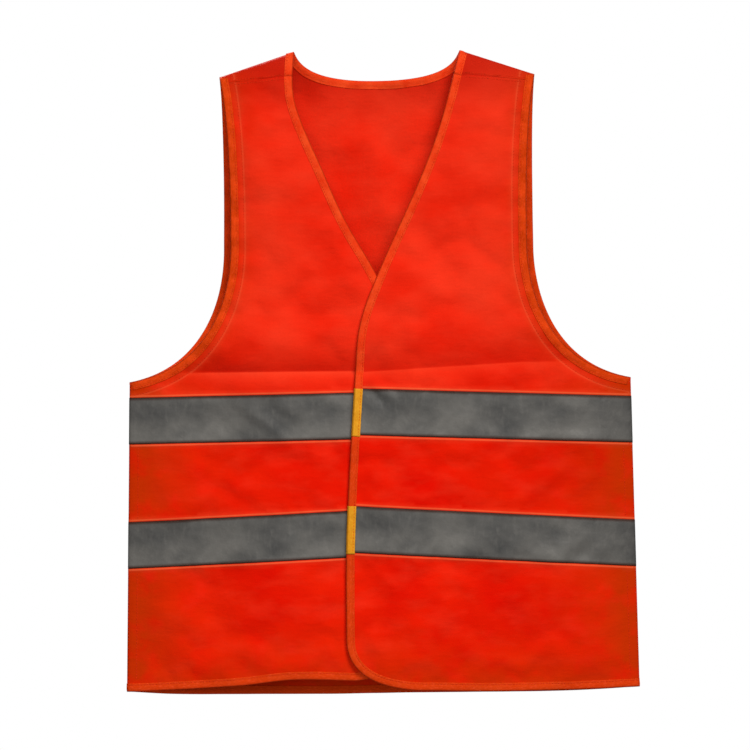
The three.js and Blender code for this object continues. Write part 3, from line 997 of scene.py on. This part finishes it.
def flat_area(flat, faces):
    """In square metres."""
    a, b, c = (flat[faces[:, k]] for k in range(3))
    (ux, uz), (vx, vz) = (b - a).T, (c - a).T
    return np.abs(ux * vz - uz * vx).sum() / 2 * MM * MM


def sheet_piece(name, parts, finish):
    """One cloth piece from flat parts, each with its face; its flat area in square metres too."""
    points, triangles, flats, tint_and_light = [], [], [], []
    start, area = 0, 0.0
    for face, flat, faces in parts:
        points.append(face.point(*flat.T))
        triangles.append((faces if face.out < 0 else faces[:, ::-1]) + start)
        flats.append(flat)
        tint_and_light.append(tints_and_painted_light(face, flat))
        start += len(flat)
        area += flat_area(flat, faces)
    points, triangles, flats, tint_and_light = (np.vstack(part) for part in (points, triangles, flats, tint_and_light))
    if len(parts) > 1:
        points, triangles, kept = weld(points, triangles)
        flats, tint_and_light = flats[kept], tint_and_light[kept]
    verts, faces = shell(points, triangles, CLOTH)
    piece = make(name, verts, faces, finish, np.vstack([flats, flats]))
    for kind, values in zip(("tint_and_edge_shadow", "painted_highlight", "painted_fold_shade"), tint_and_light.T):
        mark(piece, kind, np.tile(values, 2))
    return piece, area


def weld(points, triangles):
    """Joins points at the same place."""
    key = np.rint(points / 0.05).astype(int)
    _, kept, label = np.unique(key, axis=0, return_index=True, return_inverse=True)
    joined = label.reshape(-1)[triangles]
    sound = (joined != np.roll(joined, 1, axis=1)).all(axis=1)
    return points[kept], joined[sound], kept


def trim_rings(face, path, section=TRIM_SECTION):
    across, high = section.T
    left = inward(path)
    x = path[:, :1] + left[:, :1] * across
    z = path[:, 1:] + left[:, 1:] * across
    return face.point(x, z, high + np.where(high > 0, face.pile(x, z), 0))


def join_rings(first, second):
    """Two runs of rings that meet, with the shared ring halfway between them."""
    return np.concatenate([first[:-1], [(first[-1] + second[0]) / 2], second[1:]])


def trim(name, rings, finish, closed=False):
    points, faces = loft(rings, closed)
    piece = make(name, points, faces, finish, ring_uv(rings))
    # darker towards the bottom of the vest
    mark(piece, "tint_and_edge_shadow", smooth((BELLY_START - points[:, 2]) / 160))
    return piece


def seam_ends(side):
    return own_side(np.array([SEAM_INNER, SEAM_OUTER], float), side)


def seam_height(x):
    slope = (SEAM_OUTER[1] - SEAM_INNER[1]) / (SEAM_OUTER[0] - SEAM_INNER[0])
    return SEAM_INNER[1] + slope * (x - SEAM_INNER[0])


def seam_path(side, low=92, high=163, down=0.0):
    x = np.linspace(low, high, 24)
    return own_side(line(x, seam_height(x) - down), side)


def split_at_seam(name):
    """A front's edge path below its shoulder seam, and the stretch above it, both from the hem up."""
    side = SIDES[name]
    path = own_side(EDGES[name], side)
    first = int(np.argmax(path[:, 1] < seam_height(path[:, 0])))
    return own_side(path[first:], side), own_side(path[: first + 1], side)


def ride(piece, body, slot, *nodes):
    """A piece that moves with one body, in place of these nodes."""
    if nodes:
        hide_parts(*nodes)
    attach(piece, body)


def ride_front(piece, name, slot, *nodes):
    """A piece with its transform baked in, in place of these nodes of its front."""
    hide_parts(*[f"{name}_{node}" for node in nodes])
    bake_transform(piece)


def edge_at(name, height):
    """The x of a front's edge at that height."""
    path = EDGES[name][EDGES[name][:, 0] * SIDES[name] < FLAT_HALF]
    return path[np.argmin(np.abs(path[:, 1] - height)), 0]


def tape_rings(face, level, inner, outer):
    """Rings across a tape from x inner to outer; an x beyond a side seam stops at that seam."""
    flat = np.linspace(1 - TAPE_HALF, TAPE_HALF - 1, 17)
    across = np.r_[-TAPE_HALF, TAPE_BEVEL - TAPE_HALF, flat, TAPE_HALF - TAPE_BEVEL, TAPE_HALF]
    edge = [TAPE_LOW + 0.1, TAPE_TOP - 0.1]
    top = np.array([*edge, *[TAPE_TOP] * len(flat), *edge[::-1]])
    around = np.r_[across, across[-2:0:-1]]
    high = np.r_[top, np.full(len(across) - 2, TAPE_LOW)]
    t = np.linspace(0, 1, 180)[:, None]
    near, far = (np.sign(x) * np.minimum(abs(x), HEM[0]) for x in (inner, outer))
    reach = half_width(face.tape_centre(level, near + (far - near) * t) + around) - 0.2
    near, far = np.clip(near, -reach, reach), np.clip(far, -reach, reach)
    x = near + (far - near) * t
    z = face.tape_centre(level, x) + around
    return face.point(x, z, np.broadcast_to(high, x.shape)), around


def tape(name, face, level, inner, outer):
    rings, around = tape_rings(face, level, inner, outer)
    points, faces = loft(rings)
    along = np.repeat(arc_length(rings.mean(axis=1)), len(around))
    uv = line(along, np.tile(around, len(rings)))
    piece = make(name, points, faces, "tape", uv)
    # marks the tape's edges for their painted shadow
    mark(piece, "tint_and_edge_shadow", np.tile((np.abs(around) > TAPE_HALF - 1.1).astype(float), len(rings)))
    return piece


def stitch_row(face, path, high):
    """Stitches along a path: short arched threads that dip at both ends."""
    centre = even(path, STITCH_PITCH)[1:-1]
    x, z = centre.T
    place = face.point(x, z, high + face.pile(x, z))
    out = face.normal(x, z)
    along = unit(np.gradient(place, axis=0))
    across = unit(np.cross(along, out))
    turn = np.linspace(0, 2 * math.pi, 6)[:-1]
    rings = []
    for reach, size, dip in ((-1, 0.5, 0.4), (-0.6, 1, 0.05), (0.6, 1, 0.05), (1, 0.5, 0.4)):
        middle = place + along * reach * 0.4 * STITCH_PITCH - out * dip
        rim = across[:, None] * np.cos(turn)[:, None] + out[:, None] * np.sin(turn)[:, None]
        rings.append(middle[:, None] + rim * size * STITCH_RADIUS)
    return np.stack(rings, axis=1)


def stitching(name, rows, finish):
    rings = np.concatenate(rows)
    points, faces, uv = [], [], []
    for k, stitch in enumerate(rings):
        some, skin = loft(stitch)
        points.append(some)
        faces += [[i + k * len(some) for i in f] for f in skin]
        uv.append(line(some[:, 0] + some[:, 2], some[:, 2]))
    return make(name, np.vstack(points), faces, finish, np.vstack(uv))


def trim_row(face, path):
    return stitch_row(face, offset(path, TRIM_STITCH), TRIM_TOP)


def tape_rows(name):
    lines = FACES[name].along_tapes(np.linspace(*SEWN[name], 120), -TAPE_SEWN)
    return [stitch_row(FACES[name], path, SKIN + 0.12) for path in lines]


def side_rows(face, side):
    """The stitches that hold the side seam's allowance down, between the tapes."""
    bands = sorted(face.tape_centre(level, side * HEM[0]) for level in face.tapes)
    stops = [HEM[1] + 12, *[z + s * (TAPE_HALF + 2) for z in bands for s in (-1, 1)], UNDERARM[1] - 14]
    rows = []
    for low, high in zip(stops[::2], stops[1::2]):
        if high - low < 4 * STITCH_PITCH:
            continue
        z = np.linspace(low, high, 40)
        rows.append(stitch_row(face, line(side * (half_width(z) - 10), z), SKIN + STITCH_LIFT))
    return rows


def pad(name, face, level, low, high, bumps, finish):
    """A hook or loop patch: a thin plate with a rough pile."""
    x0, x1 = PAD_SPAN
    middle = (TAPES["left"][level][0] + TAPES["right"][level][0]) / 2
    z0, z1 = middle - PAD_HEIGHT / 2, middle + PAD_HEIGHT / 2
    outline = dense(np.array([(x0, z0), (x1, z0), (x1, z1), (x0, z1)], float), PILE_PITCH)
    x, z = np.meshgrid(np.arange(x0 + PILE_PITCH, x1 - 1, PILE_PITCH),
                       np.arange(z0 + PILE_PITCH, z1 - 1, PILE_PITCH))
    flat, faces = triangulate(outline, [line(x.ravel(), z.ravel())])
    points = face.point(*flat.T, np.full(len(flat), (low + high) / 2))
    facing = faces if high > 0 else faces[:, ::-1]
    rough = rng.uniform(0, bumps, len(flat))
    verts, skin = shell(points, facing, abs(high - low), rough)
    return make(name, verts, skin, finish, np.vstack([flat, flat]))


def side_strip(name):
    """The seam allowance between front and back, with an overlocked edge."""
    side = SIDES[name]
    z = np.arange(UNDERARM[1] - 14, HEM[1] + 12, -2.0)
    wave = 0.35 * np.sin(np.arange(len(z)) * 2.1)
    across = np.array([0, 0, 4, 8.5, 9, 8.5, 4])
    high = np.array([-0.2, 0.2, 0.28, 0.35, 0, -0.35, -0.28])
    x = side * (half_width(z)[:, None] - 1.4 - across - wave[:, None] * (across > 8))
    rings = np.stack(np.broadcast_arrays(x, high, z[:, None]), axis=-1)
    return trim(f"{name}_side_seam_allowance", rings, "cloth")


def shoulder_strip(name):
    path = even(seam_path(SIDES[name], 104, 150), 2.0)
    section = np.array([(-5, -0.5), (-5, -0.9), (0, -1.05), (5, -0.9), (5, -0.5), (0, -0.5)])
    rings = trim_rings(FACES[name], path, section)
    return trim(f"{name}_shoulder_seam_allowance", rings, "cloth")


def make_materials():
    orange = linear(240, 74, 30), linear(230, 54, 18)
    brown = linear(228, 68, 18), linear(200, 56, 8)
    amber = linear(236, 168, 44), linear(216, 142, 30)
    return {
        "cloth": knit_material(),
        "binding": binding_material("orange_binding", *orange, brown[1]),
        "brown": binding_material("darker_orange_binding", *brown, brown[1]),
        "amber": binding_material("amber_binding", *amber, amber[1]),
        "tape": tape_material(),
        "thread": thread_material("orange_thread", linear(226, 52, 22)),
        "grey_thread": thread_material("grey_thread", linear(84, 70, 60)),
        "hook": pile_material("hook_pile", linear(226, 88, 36), linear(170, 40, 12), 1.1),
        "loop": pile_material("loop_pile", linear(236, 102, 52), linear(190, 50, 20), 0.7),
    }


def build_back():
    face = FACES["back"]
    parts = [fitted(face, back_outline())]
    for name, side in SIDES.items():
        parts.append(fitted(FACES[name], clip(front_outline(name), *seam_ends(side))))
    cloth, area = sheet_piece("back_panel_cloth", parts, "cloth")
    ride(cloth, "body", "shell_fabric", "back_panel")
    with_pieces = [*back_trims(face), *back_threads(face)]
    for level in face.tapes:
        band = tape(f"back_reflective_tape_{level}", face, level, -SIDE_REACH, SIDE_REACH)
        ride(band, "body", "reflective_tape", f"back_tape_{level}")
        with_pieces.append(band)


def back_trims(face):
    """The neck's trim, which runs on over both shoulders to the seams, and the hem's."""
    left, right = (trim_rings(FACES[name], split_at_seam(name)[1])[::-1] for name in SIDES)
    rings = join_rings(join_rings(left, trim_rings(face, NECK)), right)
    neck_trim = trim("back_neck_trim", rings, "binding")
    ride(neck_trim, "body", "binding", "back_neck_binding")
    hem_trim = trim("back_hem_trim", trim_rings(face, BACK_HEM), "brown")
    ride(hem_trim, "body", "binding", "back_hem_binding")
    return neck_trim, hem_trim


def back_threads(face):
    rows = [trim_row(face, path) for path in (NECK, BACK_HEM, *[a["back"] for a in ARMHOLES.values()])]
    for side in SIDES.values():
        rows += side_rows(face, side)
    for name, side in SIDES.items():
        rows.append(trim_row(FACES[name], split_at_seam(name)[1]))
        rows.append(stitch_row(FACES[name], seam_path(side, down=-2.2), SKIN + STITCH_LIFT))
    on_tape = stitching("back_tape_stitching", tape_rows("back"), "grey_thread")
    ride(on_tape, "body", "reflective_tape")
    threads = stitching("back_stitching", rows, "thread")
    ride(threads, "body", "binding")
    return on_tape, threads


def build_front(name):
    face = FACES[name]
    first, last = seam_ends(SIDES[name]) - (0, SEAM_CRACK)
    part = fitted(face, clip(front_outline(name), last, first))
    cloth, area = sheet_piece(f"{name}_front_cloth", [part], "cloth")
    ride_front(cloth, name, "shell_fabric", "front_panel", "front_side_panel")
    edge, _ = split_at_seam(name)
    edge_trim = trim(f"{name}_front_edge_trim", trim_rings(face, edge), "binding")
    ride_front(edge_trim, name, "binding", "front_edge_binding", "neckline_binding", "hem_binding_side")
    add_armhole_trim(name)
    with_pieces = [edge_trim, *front_tapes(name), *front_threads(name, edge)]
    ride(side_strip(name), "body", "shell_fabric", f"{name}_side_seam")
    ride(shoulder_strip(name), "body", "shell_fabric", f"{name}_shoulder_seam")
    if name == "left":
        with_pieces += [cover(level) for level in face.tapes]


def add_armhole_trim(name):
    """A closed ring: round the front, over the shoulder, down the back and through the side seam."""
    front_rings = trim_rings(FACES[name], ARMHOLES[name]["front"])
    back_rings = trim_rings(FACES["back"], ARMHOLES[name]["back"])[::-1]
    rings = join_rings(front_rings, back_rings)
    rings[0] = (rings[0] + rings[-1]) / 2
    piece = trim(f"{name}_armhole_trim", rings[:-1], "brown", closed=True)
    ride(piece, "body", "binding", f"{name}_armhole_binding")


def front_tapes(name):
    face, side, bands = FACES[name], SIDES[name], []
    for level in face.tapes:
        inner = edge_at(name, TAPES[name][level][0]) + side * TAPE_HIDDEN
        band = tape(f"{name}_reflective_tape_{level}", face, level, *sorted((inner, side * SIDE_REACH)))
        ride_front(band, name, "reflective_tape", f"tape_{level}", f"tape_{level}_side")
        bands.append(band)
    return bands


def front_threads(name, edge):
    face, side, armhole = FACES[name], SIDES[name], ARMHOLES[name]["front"]
    rows = [trim_row(face, edge), *side_rows(face, side), trim_row(face, armhole),
            stitch_row(face, offset(armhole, FACING_WIDTH), SKIN + STITCH_LIFT / 2),
            stitch_row(face, seam_path(side, down=2.6), SKIN + STITCH_LIFT)]
    threads = stitching(f"{name}_front_stitching", rows, "thread")
    ride_front(threads, name, "binding")
    on_tape = stitching(f"{name}_tape_stitching", tape_rows(name), "grey_thread")
    ride_front(on_tape, name, "reflective_tape")
    return threads, on_tape


def cover(level):
    """The amber trim over a tape's end on the lapped edge."""
    path = even(EDGES["left"], 1.5)
    height = TAPES["left"][level][0]
    path = path[(np.abs(path[:, 1] - height) < TAPE_HALF + 1) & (path[:, 0] < 0)]
    rings = trim_rings(FACES["left"], path, COVER_SECTION)
    piece = trim(f"tape_end_cover_{level}_amber", rings, "amber")
    ride(piece, "left_flap", "amber_binding", f"tape_end_cover_{level}")
    return piece


def build_pads():
    for level in ("upper", "lower"):
        for kind, (name, *shape) in PADS.items():
            piece = pad(f"{kind}_pad_{level}", FACES[name], level, *shape, kind)
            ride(piece, f"{name}_flap", kind, f"{kind}_patch_{level}")


add_camera()
add_floor()
add_world()
add_lights()
MATERIALS = make_materials()
front_folds = front_relief()
for front in SIDES:
    add_front_relief(front, front_folds)
add_back_relief()
build_back()
for front in SIDES:
    build_front(front)
build_pads()
